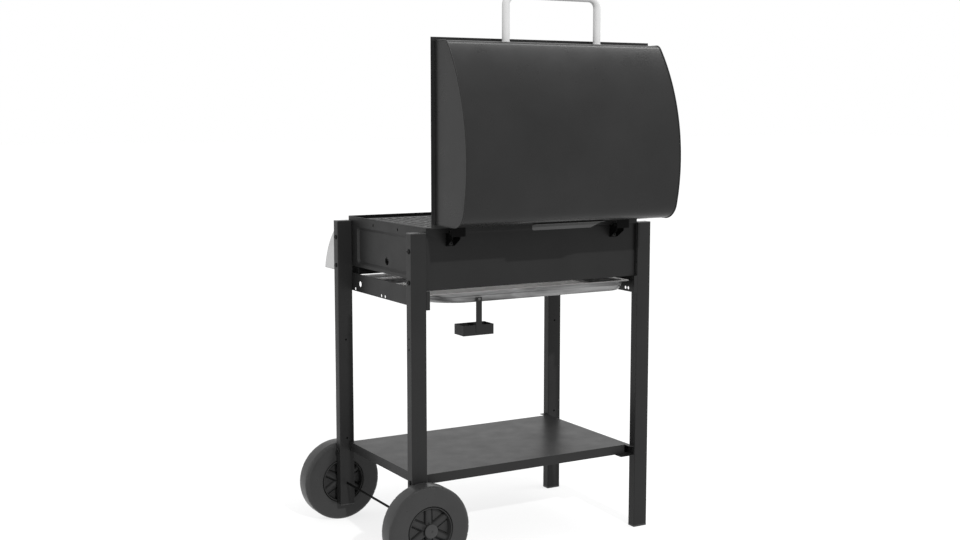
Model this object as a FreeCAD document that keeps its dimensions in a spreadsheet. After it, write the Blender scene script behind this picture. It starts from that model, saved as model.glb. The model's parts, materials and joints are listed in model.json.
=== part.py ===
"""Barrel charcoal grill on a wheeled leg frame, as a parametric FreeCAD document.

Millimetres, +X towards the wheels, -Y towards the front, +Z up. The sub-parts are drawn about the
centre of the four legs, at floor height, and each one's Placement then moves it so that the origin
lies under the middle of the rear left foot. The lid is drawn open, standing on its hinges.
"""

import FreeCAD
import Part
import Sketcher

import math
import operator
import os
from types import SimpleNamespace

DRIVING = {
    # legs and the sheet that everything else is folded from
    "frame_long": 688,
    "frame_wide": 439.6,
    "leg_high": 800,
    "leg_wide": 40,
    "leg_deep": 25,
    "leg_wall": 1.5,
    "leg_round": 1.5,
    "foot_flange": 5,
    "cap_flange": 3,
    "cap_plug": 14,
    "wheel_leg_low": 47,
    "sheet_thick": 1.2,
    "spare_hole": 2.5,
    "spare_inner_high": 489,
    "spare_inner_low": 227,
    "spare_outer_high": 551.5,
    "spare_outer_low": 526,
    # firebox
    "box_wide": 418,
    "rim_step": 7.5,
    "rim_low": 797,
    "rim_top": 810.7,
    "rear_panel_low": 662,
    "front_panel_low": 656,
    "end_panel_low": 682,
    "end_tab_low": 672,
    "end_tab_wide": 19,
    "recess_half": 165,
    "recess_low": 690,
    "recess_high": 785,
    "recess_deep": 4,
    "recess_round": 12,
    "vent_hole": 10,
    "vent_high": 712,
    "slot_offset": 69,
    "slot_high": 795.5,
    "slot_wide_half": 2.5,
    "slot_tall_half": 3.5,
    # cross panels under the firebox ends
    "cross_low": 618,
    "cross_high": 664,
    "cross_tab_high": 694,
    "cross_return": 8.3,
    "runner_deep": 17.5,
    "runner_high": 648.2,
    "runner_half": 200,
    "access_y": -146,
    "access_z": 639,
    "access_hole": 7.5,
    "access_pitch": 21,
    "pair_hole": 4,
    "single_y": -175.4,
    "pair_right_y": -22,
    "pair_right_z": 624,
    "pair_left_y": 171,
    "pair_left_z": 627,
    "pair_left_pitch": 12,
    # fasteners
    "bolt_shank": 3,
    "bolt_hole": 3.1,
    "bolt_head": 6,
    "bolt_head_high": 3.5,
    "bolt_head_round": 2.4,
    "bolt_high": 757,
    "bolt_low": 684,
    "shelf_bolt_front": 192,
    "shelf_bolt_rear": 207,
    # front fascia, a quarter round ahead of the front legs
    "fascia_radius": 184,
    "fascia_centre_y": -98,
    "fascia_centre_z": 634,
    "fascia_low": 672,
    # lower shelf
    "shelf_left": 290,
    "shelf_right": 317,
    "shelf_half": 194.4,
    "shelf_top": 217,
    "shelf_edge": 23.3,
    "shelf_bar_wide": 14,
    "shelf_foot": 43,
    "shelf_end_half": 218,
    # wheels and axle
    "wheel_radius": 105.3,
    "wheel_gap": 2,
    "wheel_wide": 54,
    "tyre_round": 10.5,
    "hub_radius": 58,
    "hub_web": 26,
    "boss_radius": 14.5,
    "rib_thick": 16,
    "rib_inset": 7,
    "rib_count": 6,
    "rib_turn": 1,
    "bush_radius": 6,
    "bush_overhang": 0.5,
    "washer_radius": 9,
    "washer_thick": 1,
    "axle_radius": 3,
    "running_gap": 0.05,
    "axle_end": 278,
    "axle_cap": 17,
    "axle_cap_edge": 2,
    "axle_cap_high": 3,
    "axle_cap_gap": 0.5,
    # hinges
    "hinge_x": 234.8,
    "pin_y": 232.5,
    "pin_z": 797,
    "pin_radius": 2.95,
    "pin_head": 4.7,
    "ear_inside": 9.3,
    "ear_thick": 2,
    "ear_low": 765,
    "ear_front_low": 783,
    "knuckle_radius": 6,
    "knuckle_gap": 0.6,
    "tongue_half": 2,
    "hinge_screw_low": 7,
    "hinge_screw_high": 23,
    "leaf_half": 18.5,
    "leaf_low": 790,
    "leaf_thick": 2,
    # lid, open: its mouth is a vertical plane behind the hinge pins
    "lid_plane": 247.6,
    "lid_low": 811.5,
    "lid_deep": 436,
    "lid_lip": 9,
    "lid_half": 296.5,
    "crown_radius": 465,
    "crown_centre_rise": -316,
    "crown_centre_deep": 151,
    "lid_rear_round": 45,
    "lid_front_round": 20,
    "handle_half": 127,
    "handle_rise": 34,
    "handle_out": 108,
    "handle_radius": 9,
    "handle_round": 24,
    "tab_left": 104,
    "tab_right": 93,
    "tab_slope": 34,
    "tab_round": 4,
    "tab_rise": 97.5,
    "tab_hang": 14.5,
    "tab_foot": 11,
    # ash tray and drip cup
    "tray_half": 283.5,
    "tray_front": 203,
    "tray_rear": 201,
    "tray_waist": 638,
    "tray_low": 624,
    "tray_rim_half": 293.5,
    "tray_rim_rear": 207,
    "tray_rim_front": 235,
    "tray_lip": 12,
    "tray_rim_round": 12,
    "tray_rim_high": 3,
    "waist_inset": 4,
    "waist_front_inset": 8,
    "waist_rear_inset": 5,
    "floor_inset": 20,
    "floor_front_inset": 12,
    "floor_rear_inset": 8,
    "mouth_round": 25,
    "waist_round": 60,
    "floor_round": 95,
    "floor_left_round": 30,
    "drain_hole": 5,
    "drain_inset": 36,
    "slide_gap": 0.3,
    "hook_x": 150,
    "hook_half": 3.2,
    "hook_low": 630,
    "hook_high": 632,
    "hook_tip": 634.2,
    "hook_gap": 0.8,
    "hook_root": 3,
    "cup_left": 108,
    "cup_right": 192,
    "cup_front": 150,
    "cup_rear": 197,
    "cup_low": 543.6,
    "cup_high": 568.5,
    "strap_half": 8.2,
    "strap_low": 550,
    "strap_high": 636,
    "strap_slot_half": 4,
    "strap_slot_low": 627.4,
    # grates
    "grate_low": 795,
    "grate_thick": 8,
    "grate_split": 1,
    "grate_half_x": 293,
    "grate_half_y": 200,
    "grate_pitch": 24.1,
    "grate_bar": 9,
    "grate_frame": 10,
    "coal_low": 712,
    "coal_thick": 6,
    "coal_pitch": 25.4,
    "rail_deep": 22,
    "rail_high": 15,
}

OPERATIONS = {"+": operator.add, "-": operator.sub, "*": operator.mul, "/": operator.truediv}


class Size:
    """A number that remembers the spreadsheet formula it comes from."""

    def __init__(self, value, formula):
        self.value = value
        self.formula = formula

    def __add__(self, other):
        return joined(self, "+", other)

    def __radd__(self, other):
        return joined(other, "+", self)

    def __sub__(self, other):
        return joined(self, "-", other)

    def __rsub__(self, other):
        return joined(other, "-", self)

    def __mul__(self, other):
        return joined(self, "*", other)

    def __rmul__(self, other):
        return joined(other, "*", self)

    def __truediv__(self, other):
        return joined(self, "/", other)

    def __neg__(self):
        return joined(-1, "*", self)


def as_size(number):
    """The number as a Size, whether or not it already is one."""
    return number if isinstance(number, Size) else Size(float(number), f"({number})")


def joined(left, sign, right):
    """Two numbers under one of the four operations."""
    left = as_size(left)
    right = as_size(right)
    value = OPERATIONS[sign](left.value, right.value)
    return Size(value, f"({left.formula} {sign} {right.formula})")


def leg_of_triangle(hypotenuse, side):
    """The other short side of a right-angled triangle."""
    square = hypotenuse * hypotenuse - side * side
    return Size(math.sqrt(square.value), f"sqrt({square.formula})")


def in_order(first, second):
    """The two numbers, the lower one first."""
    return (first, second) if as_size(first).value <= as_size(second).value else (second, first)


doc = FreeCAD.newDocument("barrel_charcoal_grill")


def make_sheet():
    """Put the driving dimensions in a spreadsheet and return each as a Size."""
    sheet = doc.addObject("Spreadsheet::Sheet", "Sheet")
    for row, (alias, number) in enumerate(DRIVING.items(), 1):
        sheet.set(f"A{row}", alias)
        sheet.set(f"B{row}", str(number))
        sheet.setAlias(f"B{row}", alias)
    doc.recompute()
    return SimpleNamespace(
        **{alias: Size(float(sheet.get(alias)), f"Sheet.{alias}") for alias in DRIVING}
    )


dim = make_sheet()

LEG_X = (dim.frame_long - dim.leg_wide) / 2
LEG_Y = (dim.frame_wide - dim.leg_deep) / 2
FRAME_X = dim.frame_long / 2
FRAME_Y = dim.frame_wide / 2
LEG_IN_X = FRAME_X - dim.leg_wide
LEG_IN_Y = FRAME_Y - dim.leg_deep
END_OUT = LEG_IN_X - dim.sheet_thick
END_IN = END_OUT - dim.sheet_thick
BOX_Y = dim.box_wide / 2
BOX_IN_Y = BOX_Y - dim.sheet_thick
RIM_Y = BOX_Y + dim.rim_step
SHELF_LOW = dim.shelf_top - dim.shelf_edge
WHEEL_IN = FRAME_Y + dim.wheel_gap
WHEEL_OUT = WHEEL_IN + dim.wheel_wide
PIN_HOLE = dim.pin_radius + dim.running_gap
TRAY_TOP = dim.runner_high + dim.slide_gap
FOOT_ORIGIN = (LEG_X, -LEG_Y)

nodes = []


# ---------------------------------------------------------------- drawing helpers


def tie(item, name, number):
    """Bind one property of an object to a formula in the sheet's names."""
    item.setExpression(name, as_size(number).formula)


def node(item, label, x=0, y=0, z=0):
    """Label a finished sub-part, place it, and keep it to be written."""
    item.Label = label
    tie(item, "Placement.Base.x", x + FOOT_ORIGIN[0])
    tie(item, "Placement.Base.y", y + FOOT_ORIGIN[1])
    tie(item, "Placement.Base.z", z)
    nodes.append(item)
    return item


def new_body(name):
    """An empty PartDesign body."""
    return doc.addObject("PartDesign::Body", name)


def own_datum(body, role):
    """One of the body's own planes or axes."""
    return next(part for part in body.Origin.OriginFeatures if part.Role == role)


def box_path(left, low, right, high):
    """A rectangle as a path."""
    return [(left, low), (right, low), (right, high), (left, high)]


def round_box_path(left, low, right, high, radius, left_radius=None):
    """A rectangle with round corners as a path. A third value is the radius of the arc that ends
    at its point, and the last entry closes the path with an arc."""
    bend = radius if left_radius is None else left_radius
    return [
        (left + bend, low),
        (right - radius, low),
        (right, low + radius, radius),
        (right, high - radius),
        (right - radius, high, radius),
        (left + bend, high),
        (left, high - bend, bend),
        (left, low + bend),
        ("close", bend),
    ]


def arc_geometry(start, end, radius):
    """The arc between two points, turning left for a positive radius, and whether it is reversed."""
    middle = (start + end) * 0.5
    half = (end - start) * 0.5
    rise = math.sqrt(max(radius * radius - half.Length**2, 0))
    left = FreeCAD.Vector(-half.y, half.x, 0).normalize()
    centre = middle + left * math.copysign(rise, radius)
    circle = Part.Circle(centre, FreeCAD.Vector(0, 0, 1), abs(radius))
    first, last = (start, end) if radius > 0 else (end, start)
    angles = [math.atan2(point.y - centre.y, point.x - centre.x) for point in (first, last)]
    if angles[1] < angles[0]:
        angles[1] += 2 * math.pi
    return Part.ArcOfCircle(circle, *angles), radius < 0


def pin_point(sketch, edge, end, x, y):
    """Fix one end of an edge at a place given by two formulas."""
    for kind, number in (("DistanceX", x), ("DistanceY", y)):
        number = as_size(number)
        index = sketch.addConstraint(Sketcher.Constraint(kind, -1, 1, edge, end, number.value))
        sketch.setExpression(f"Constraints[{index}]", number.formula)


def set_radius(sketch, edge, radius):
    """Fix the radius of a circle or an arc by a formula."""
    index = sketch.addConstraint(Sketcher.Constraint("Radius", edge, abs(radius.value)))
    formula = radius.formula if radius.value > 0 else (-radius).formula
    sketch.setExpression(f"Constraints[{index}]", formula)


def draw_circle(sketch, x, y, radius):
    """A circle given by its centre and radius."""
    x, y, radius = as_size(x), as_size(y), as_size(radius)
    centre = FreeCAD.Vector(x.value, y.value, 0)
    circle = Part.Circle(centre, FreeCAD.Vector(0, 0, 1), radius.value)
    edge = sketch.addGeometry(circle, False)
    pin_point(sketch, edge, 3, x, y)
    set_radius(sketch, edge, radius)


def draw_path(sketch, path, closed=True):
    """Lines and arcs through the points of a path."""
    closing = None
    if path[-1][0] == "close":
        closing = as_size(path[-1][1])
        path = path[:-1]
    corners = [(as_size(point[0]), as_size(point[1])) for point in path]
    places = [FreeCAD.Vector(x.value, y.value, 0) for x, y in corners]
    bends = [as_size(point[2]) if len(point) > 2 else None for point in path[1:]]
    if closed:
        bends.append(closing)
    ends = []
    for index, bend in enumerate(bends):
        start = places[index]
        end = places[(index + 1) % len(places)]
        if bend is None:
            edge = sketch.addGeometry(Part.LineSegment(start, end), False)
            ends.append((edge, 1, 2))
            continue
        arc, reverse = arc_geometry(start, end, bend.value)
        edge = sketch.addGeometry(arc, False)
        ends.append((edge, 2, 1) if reverse else (edge, 1, 2))
    joints = zip(ends, ends[1:] + ends[:1]) if closed else zip(ends, ends[1:])
    for (edge, _, end), (following, start, _) in joints:
        sketch.addConstraint(Sketcher.Constraint("Coincident", edge, end, following, start))
    for (edge, start, _), (x, y) in zip(ends, corners):
        pin_point(sketch, edge, start, x, y)
    if not closed:
        pin_point(sketch, ends[-1][0], ends[-1][2], *corners[-1])
    for (edge, _, _), bend in zip(ends, bends):
        if bend is not None:
            set_radius(sketch, edge, bend)


def sketch_on(body, plane, level, loops, closed=True):
    """Loops on one of the body's own planes, moved along its normal. A tuple is a circle."""
    sketch = body.newObject("Sketcher::SketchObject", f"{body.Name}_sketch")
    sketch.AttachmentSupport = [(own_datum(body, f"{plane}_Plane"), "")]
    sketch.MapMode = "FlatFace"
    tie(sketch, "AttachmentOffset.Base.z", level)
    for loop in loops:
        if isinstance(loop, tuple):
            draw_circle(sketch, *loop)
        else:
            draw_path(sketch, loop, closed)
    return sketch


def add(body, plane, first, second, *loops):
    """Pad loops between two levels along the axis that the plane faces."""
    low, high = in_order(first, second)
    start = -high if plane == "XZ" else low
    pad = body.newObject("PartDesign::Pad", f"{body.Name}_pad")
    pad.Profile = sketch_on(body, plane, start, loops)
    tie(pad, "Length", high - low)
    return pad


def take(body, plane, first, second, *loops):
    """Pocket loops between two levels along the axis that the plane faces."""
    low, high = in_order(first, second)
    start = -low if plane == "XZ" else high
    doc.recompute()
    before = body.Shape.Volume
    pocket = body.newObject("PartDesign::Pocket", f"{body.Name}_pocket")
    pocket.Profile = sketch_on(body, plane, start, loops)
    tie(pocket, "Length", high - low)
    doc.recompute()
    if not body.Shape.Volume < before:
        raise RuntimeError(f"{body.Name}: a pocket removed nothing")
    return pocket


def plate(label, plane, first, second, *loops):
    """A node that is one padded outline."""
    body = new_body(label)
    add(body, plane, first, second, *loops)
    return node(body, label)


def turn(body, *loops):
    """Revolve loops about the body's Y axis; they are drawn as (Y, radius)."""
    revolution = body.newObject("PartDesign::Revolution", f"{body.Name}_turn")
    sketch = sketch_on(body, "YZ", 0, loops)
    revolution.Profile = sketch
    revolution.ReferenceAxis = (sketch, ["H_Axis"])
    return revolution


def solid(kind, along, x, y, z, **sizes):
    """A Part primitive whose own axis points along X, Y or Z from a given place."""
    item = doc.addObject(f"Part::{kind}", kind)
    for name, number in sizes.items():
        tie(item, name, number)
    unit = FreeCAD.Vector(*(float(letter == along[-1]) for letter in "XYZ"))
    turned = FreeCAD.Rotation(FreeCAD.Vector(0, 0, 1), -unit if along.startswith("-") else unit)
    item.Placement = FreeCAD.Placement(FreeCAD.Vector(), turned)
    for axis, number in (("x", x), ("y", y), ("z", z)):
        tie(item, f"Placement.Base.{axis}", number)
    return item


def block(left, front, low, right, back, high):
    """A box between two corners."""
    return solid(
        "Box", "Z", left, front, low, Length=right - left, Width=back - front, Height=high - low
    )


def combine(kind, *items):
    """A union or a group of objects."""
    item = doc.addObject(f"Part::{kind}", kind)
    setattr(item, "Links" if kind == "Compound" else "Shapes", list(items))
    return item


def cut(base, tool):
    """One object less another."""
    item = doc.addObject("Part::Cut", "Cut")
    item.Base = base
    item.Tool = tool
    return item


def bolt(along, x, y, z, reach):
    """A round-headed bolt: the head stands back from the given place, the shank reaches forward."""
    opposite = along[1:] if along.startswith("-") else f"-{along}"
    head = solid("Cylinder", opposite, x, y, z, Radius=dim.bolt_head, Height=dim.bolt_head_high)
    shank = solid("Cylinder", along, x, y, z, Radius=dim.bolt_shank, Height=reach)
    rounded = doc.addObject("Part::Fillet", "BoltHead")
    rounded.Base = head
    doc.recompute()
    crown = max(
        (edge for edge in enumerate(head.Shape.Edges, 1) if edge[1].Closed),
        key=lambda edge: (edge[1].CenterOfMass - shank.Shape.CenterOfMass).Length,
    )
    rounded.Edges = [(crown[0], dim.bolt_head_round.value, dim.bolt_head_round.value)]
    return combine("MultiFuse", rounded, shank)


# ---------------------------------------------------------------- frame


def make_leg(label, side, end, low, outer_holes):
    """A rectangular tube with its bolt, axle and spare holes."""
    x, y = side * LEG_X, end * LEG_Y
    half_x, half_y, wall = dim.leg_wide / 2, dim.leg_deep / 2, dim.leg_wall
    outside = round_box_path(x - half_x, y - half_y, x + half_x, y + half_y, dim.leg_round)
    inside = box_path(x - half_x + wall, y - half_y + wall, x + half_x - wall, y + half_y - wall)
    body = new_body(label)
    add(body, "XY", low, dim.leg_high - dim.cap_flange, outside, inside)
    shelf_bolt = dim.shelf_bolt_front if end < 0 else dim.shelf_bolt_rear
    through = [(y, height, dim.bolt_hole) for height in (dim.bolt_high, dim.bolt_low, shelf_bolt)]
    take(body, "YZ", x - half_x, x + half_x, *through)
    for height in outer_holes:
        take(body, "YZ", x, x + side * half_x, (y, height, dim.spare_hole))
    heights = (dim.spare_inner_high, dim.spare_inner_low)
    inner_holes = [(x, height, dim.spare_hole) for height in heights]
    take(body, "XZ", y, y - end * half_y, *inner_holes)
    if side > 0:
        axle_hole = dim.axle_radius + 2 * dim.running_gap
        take(body, "XZ", y - half_y, y + half_y, (x, dim.wheel_radius, axle_hole))
    node(body, label)


def leg_cap(side, end, level, flange, upward):
    """A plastic cap: a flange across the tube's end, from level, and a plug inside the tube."""
    x, y = side * LEG_X, end * LEG_Y
    half_x, half_y = dim.leg_wide / 2, dim.leg_deep / 2
    inset = dim.leg_wall + 2 * dim.running_gap
    plug_x, plug_y = half_x - inset, half_y - inset
    plug_low = level + flange if upward else level - dim.cap_plug
    plug_high = plug_low + dim.cap_plug
    cover = block(x - half_x, y - half_y, level, x + half_x, y + half_y, level + flange)
    stem = block(x - plug_x, y - plug_y, plug_low, x + plug_x, y + plug_y, plug_high)
    return combine("MultiFuse", cover, stem)


def make_legs():
    """Four legs and the caps in their ends."""
    wheel_low = dim.wheel_leg_low + dim.cap_flange
    make_leg("leg_front_right", 1, -1, wheel_low, [])
    make_leg("leg_rear_right", 1, 1, wheel_low, [dim.spare_outer_high, dim.spare_outer_low])
    make_leg("leg_front_left", -1, -1, dim.foot_flange, [])
    make_leg("leg_rear_left", -1, 1, dim.foot_flange, [])
    corners = [(side, end) for side in (1, -1) for end in (1, -1)]
    top = dim.leg_high - dim.cap_flange
    caps = [leg_cap(side, end, top, dim.cap_flange, False) for side, end in corners]
    node(combine("Compound", *caps), "leg_top_caps")
    feet = [leg_cap(1, end, dim.wheel_leg_low, dim.cap_flange, True) for end in (1, -1)]
    feet += [leg_cap(-1, end, as_size(0), dim.foot_flange, True) for end in (1, -1)]
    node(combine("Compound", *feet), "foot_caps")


def make_long_panel(label, end, low):
    """The front or rear wall of the firebox, stepped out near the top into the rim."""
    thick = dim.sheet_thick
    section = [
        (end * BOX_IN_Y, low),
        (end * BOX_Y, low),
        (end * BOX_Y, dim.rim_low),
        (end * RIM_Y, dim.rim_low),
        (end * RIM_Y, dim.rim_top),
        (end * (RIM_Y - thick), dim.rim_top),
        (end * (RIM_Y - thick), dim.rim_low + thick),
        (end * BOX_IN_Y, dim.rim_low + thick),
    ]
    body = new_body(label)
    add(body, "YZ", -END_IN, END_IN, section)
    if end > 0:
        screws = [(x, z, dim.bolt_hole) for x, z in hinge_screw_places()]
        take(body, "XZ", BOX_IN_Y, BOX_Y, *screws)
    node(body, label)


def make_end_panel(label, side):
    """An end wall of the firebox: a flat sheet with a pressed recess, a vent hole and two slots."""
    thick = dim.sheet_thick
    tab_in = RIM_Y - dim.end_tab_wide
    outline = [
        (-RIM_Y, dim.end_tab_low),
        (-tab_in, dim.end_tab_low),
        (-tab_in, dim.end_panel_low),
        (tab_in, dim.end_panel_low),
        (tab_in, dim.end_tab_low),
        (RIM_Y, dim.end_tab_low),
        (RIM_Y, dim.rim_top),
        (-RIM_Y, dim.rim_top),
    ]
    half, low, high, bend = dim.recess_half, dim.recess_low, dim.recess_high, dim.recess_round
    back = round_box_path(-half - thick, low - thick, half + thick, high + thick, bend + thick)
    hollow = round_box_path(-half, low, half, high, bend)
    body = new_body(label)
    add(body, "YZ", side * END_IN, side * END_OUT, outline)
    add(body, "YZ", side * (END_IN - dim.recess_deep), side * END_IN, back)
    take(body, "YZ", side * (END_OUT - dim.recess_deep), side * END_OUT, hollow)
    vent = (0, dim.vent_high, dim.vent_hole)
    take(body, "YZ", side * (END_IN - dim.recess_deep), side * END_OUT, vent)
    wide, tall = dim.slot_wide_half, dim.slot_tall_half
    slots = [
        box_path(y - wide, dim.slot_high - tall, y + wide, dim.slot_high + tall)
        for y in (dim.slot_offset, -dim.slot_offset)
    ]
    heights = (dim.bolt_high, dim.bolt_low)
    bolts = [(end * LEG_Y, height, dim.bolt_hole) for end in (1, -1) for height in heights]
    take(body, "YZ", side * END_IN, side * END_OUT, *slots, *bolts)
    node(body, label)


def make_cross_panel(label, side, holes):
    """A sheet between two legs under the firebox, with end returns and a runner for the tray."""
    low, high, tab_high = dim.cross_low, dim.cross_high, dim.cross_tab_high
    tab_in = RIM_Y - dim.end_tab_wide
    outline = [
        (-FRAME_Y, low),
        (FRAME_Y, low),
        (FRAME_Y, high),
        (RIM_Y, high),
        (RIM_Y, tab_high),
        (tab_in, tab_high),
        (tab_in, high),
        (-tab_in, high),
        (-tab_in, tab_high),
        (-RIM_Y, tab_high),
        (-RIM_Y, high),
        (-FRAME_Y, high),
    ]
    thick = dim.sheet_thick
    body = new_body(label)
    add(body, "YZ", side * END_OUT, side * LEG_IN_X, outline)
    for end in (1, -1):
        left, right = in_order(side * (END_OUT - dim.cross_return), side * END_OUT)
        front, back = in_order(end * (FRAME_Y - thick), end * FRAME_Y)
        add(body, "XY", low, high - thick, box_path(left, front, right, back))
    left, right = in_order(side * (END_OUT - dim.runner_deep), side * END_OUT)
    runner = box_path(left, -dim.runner_half, right, dim.runner_half)
    add(body, "XY", dim.runner_high - thick, dim.runner_high, runner)
    bolts = [(end * LEG_Y, dim.bolt_low, dim.bolt_hole) for end in (1, -1)]
    take(body, "YZ", side * END_OUT, side * LEG_IN_X, *holes, *bolts)
    node(body, label)


def make_rail(label, end, top):
    """An angle along the firebox wall that a grate rests on."""
    thick = dim.leg_wall
    inside = BOX_IN_Y - dim.rail_deep
    section = [
        (end * BOX_IN_Y, top),
        (end * inside, top),
        (end * inside, top - thick),
        (end * (BOX_IN_Y - thick), top - thick),
        (end * (BOX_IN_Y - thick), top - dim.rail_high),
        (end * BOX_IN_Y, top - dim.rail_high),
    ]
    plate(label, "YZ", -dim.grate_half_x, dim.grate_half_x, section)


def make_firebox():
    """The four walls, the cross panels below them and the rails inside."""
    make_long_panel("front_panel", -1, dim.front_panel_low)
    make_long_panel("rear_panel", 1, dim.rear_panel_low)
    make_end_panel("end_panel_right", 1)
    make_end_panel("end_panel_left", -1)
    pitch = dim.access_pitch
    make_cross_panel("cross_panel_right", 1, [
        (dim.access_y, dim.access_z, dim.access_hole),
        (dim.single_y, dim.pair_right_z, dim.pair_hole),
        (dim.pair_right_y, dim.pair_right_z, dim.pair_hole),
        (dim.pair_right_y + pitch, dim.pair_right_z, dim.pair_hole),
    ])
    make_cross_panel("cross_panel_left", -1, [
        (dim.pair_left_y, dim.pair_left_z, dim.pair_hole),
        (dim.pair_left_y + dim.pair_left_pitch, dim.pair_left_z, dim.pair_hole),
    ])
    for word, top in (("grate", dim.grate_low), ("charcoal", dim.coal_low)):
        make_rail(f"{word}_rail_front", -1, top)
        make_rail(f"{word}_rail_rear", 1, top)


def make_fascia():
    """The quarter-round cover ahead of the front legs, and the plates that close its ends."""
    centre_y, centre_z = dim.fascia_centre_y, dim.fascia_centre_z
    outer = dim.fascia_radius
    inner = outer - dim.sheet_thick
    low = dim.fascia_low
    floor = low + dim.sheet_thick
    back = -FRAME_Y
    reach = centre_y - back
    outer_top = centre_z + leg_of_triangle(outer, reach)
    inner_top = centre_z + leg_of_triangle(inner, reach)
    outer_front = centre_y - leg_of_triangle(outer, low - centre_z)
    inner_front = centre_y - leg_of_triangle(inner, floor - centre_z)
    shell = [
        (back, outer_top),
        (outer_front, low, outer),
        (back, low),
        (back, floor),
        (inner_front, floor),
        (back, inner_top, -inner),
    ]
    plate("front_fascia", "YZ", -FRAME_X, FRAME_X, shell)
    closing = [(back, inner_top), (inner_front, floor, inner), (back, floor)]
    for word, side in (("right", 1), ("left", -1)):
        plate(f"fascia_end_{word}", "YZ", side * (FRAME_X - dim.sheet_thick), side * FRAME_X, closing)


def make_shelf():
    """The tray-like lower shelf, the channel at its left end and two brackets at its right end."""
    thick = dim.sheet_thick
    body = new_body("lower_shelf")
    left, right, half = -dim.shelf_left, dim.shelf_right, dim.shelf_half
    outline = round_box_path(left, -half, right, half, dim.leg_round)
    hollow = box_path(left + thick, -half + thick, right - thick, half - thick)
    add(body, "XY", SHELF_LOW, dim.shelf_top, outline)
    take(body, "XY", SHELF_LOW, dim.shelf_top - thick, hollow)
    node(body, "lower_shelf")

    outer = -LEG_IN_X
    inner = outer + thick
    channel = [
        (outer, SHELF_LOW - thick),
        (outer + dim.shelf_foot, SHELF_LOW - thick),
        (outer + dim.shelf_foot, SHELF_LOW),
        (inner, SHELF_LOW),
        (inner, dim.shelf_top - thick),
        (outer + dim.shelf_bar_wide, dim.shelf_top - thick),
        (outer + dim.shelf_bar_wide, dim.shelf_top),
        (outer, dim.shelf_top),
    ]
    bar = new_body("shelf_end_bar")
    add(bar, "XZ", -dim.shelf_end_half, dim.shelf_end_half, channel)
    holes = [
        (LEG_Y, dim.shelf_bolt_rear, dim.bolt_hole),
        (-LEG_Y, dim.shelf_bolt_front, dim.bolt_hole),
    ]
    take(bar, "YZ", outer, inner, *holes)
    node(bar, "shelf_end_bar")

    for word, end, bolt_z in (("front", -1, dim.shelf_bolt_front), ("rear", 1, dim.shelf_bolt_rear)):
        bracket = new_body(f"shelf_bracket_{word}")
        front, back = in_order(end * LEG_IN_Y, end * dim.shelf_end_half)
        add(bracket, "YZ", END_OUT, LEG_IN_X, box_path(front, SHELF_LOW - thick, back, dim.shelf_top))
        front, back = in_order(end * (LEG_IN_Y - dim.shelf_foot), end * dim.shelf_end_half)
        foot = box_path(END_OUT - dim.shelf_foot / 2, front, END_OUT, back)
        add(bracket, "XY", SHELF_LOW - thick, SHELF_LOW, foot)
        take(bracket, "YZ", END_OUT, LEG_IN_X, (end * LEG_Y, bolt_z, dim.bolt_hole))
        node(bracket, f"shelf_bracket_{word}")


def make_bolts():
    """Bolts through the legs, into the firebox ends and into the shelf's fixings."""
    body_bolts = []
    shelf_bolts = []
    for side, inward in ((1, "-X"), (-1, "X")):
        for end, shelf_z in ((1, dim.shelf_bolt_rear), (-1, dim.shelf_bolt_front)):
            x, y = side * FRAME_X, end * LEG_Y
            for height in (dim.bolt_high, dim.bolt_low):
                body_bolts.append(bolt(inward, x, y, height, FRAME_X - END_IN))
            shelf_bolts.append(bolt(inward, x, y, shelf_z, FRAME_X - END_OUT))
    node(combine("Compound", *body_bolts), "body_bolts")
    node(combine("Compound", *shelf_bolts), "shelf_bolts")


# ---------------------------------------------------------------- wheels


def make_washer(way):
    """The washer between one wheel and its leg."""
    sizes = {"Height": dim.washer_thick}
    place = (way, LEG_X, FRAME_Y if way == "Y" else -FRAME_Y, dim.wheel_radius)
    ring = solid("Cylinder", *place, Radius=dim.washer_radius, **sizes)
    bore = solid("Cylinder", *place, Radius=dim.axle_radius + 2 * dim.running_gap, **sizes)
    return cut(ring, bore)


def make_axle_cap(way):
    """A domed cap on one end of the axle."""
    near = WHEEL_OUT + dim.bush_overhang + dim.axle_cap_gap
    edge = near + dim.axle_cap_edge
    peak = dim.axle_end + dim.axle_cap_high
    rise = peak - edge
    dome = (dim.axle_cap * dim.axle_cap + rise * rise) / (2 * rise)
    section = [
        (way * near, dim.axle_radius),
        (way * near, dim.axle_cap),
        (way * edge, dim.axle_cap),
        (way * peak, 0, -way * dome),
        (way * dim.axle_end, 0),
        (way * dim.axle_end, dim.axle_radius),
    ]
    body = new_body("axle_cap")
    turn(body, section)
    tie(body, "Placement.Base.x", LEG_X)
    tie(body, "Placement.Base.z", dim.wheel_radius)
    return body


def make_axle():
    """The axle across both wheel legs, its washers and the domed caps on its ends."""
    sizes = {"Radius": dim.axle_radius, "Height": dim.axle_end * 2}
    axle = solid("Cylinder", "Y", LEG_X, -dim.axle_end, dim.wheel_radius, **sizes)
    node(combine("Compound", axle), "axle")
    node(combine("Compound", make_washer("Y"), make_washer("-Y")), "axle_washers")
    node(combine("Compound", make_axle_cap(1), make_axle_cap(-1)), "axle_caps")


def make_tyre(label, middle):
    """The broad rim of a moulded wheel, with rounded shoulders."""
    half, bend = dim.wheel_wide / 2, dim.tyre_round
    outer, inner = dim.wheel_radius, dim.hub_radius
    body = new_body(label)
    section = [
        (-half, inner),
        (half, inner),
        (half, outer - bend),
        (half - bend, outer, bend),
        (-half + bend, outer),
        (-half, outer - bend, bend),
    ]
    turn(body, section)
    node(body, label, LEG_X, middle, dim.wheel_radius)


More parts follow.
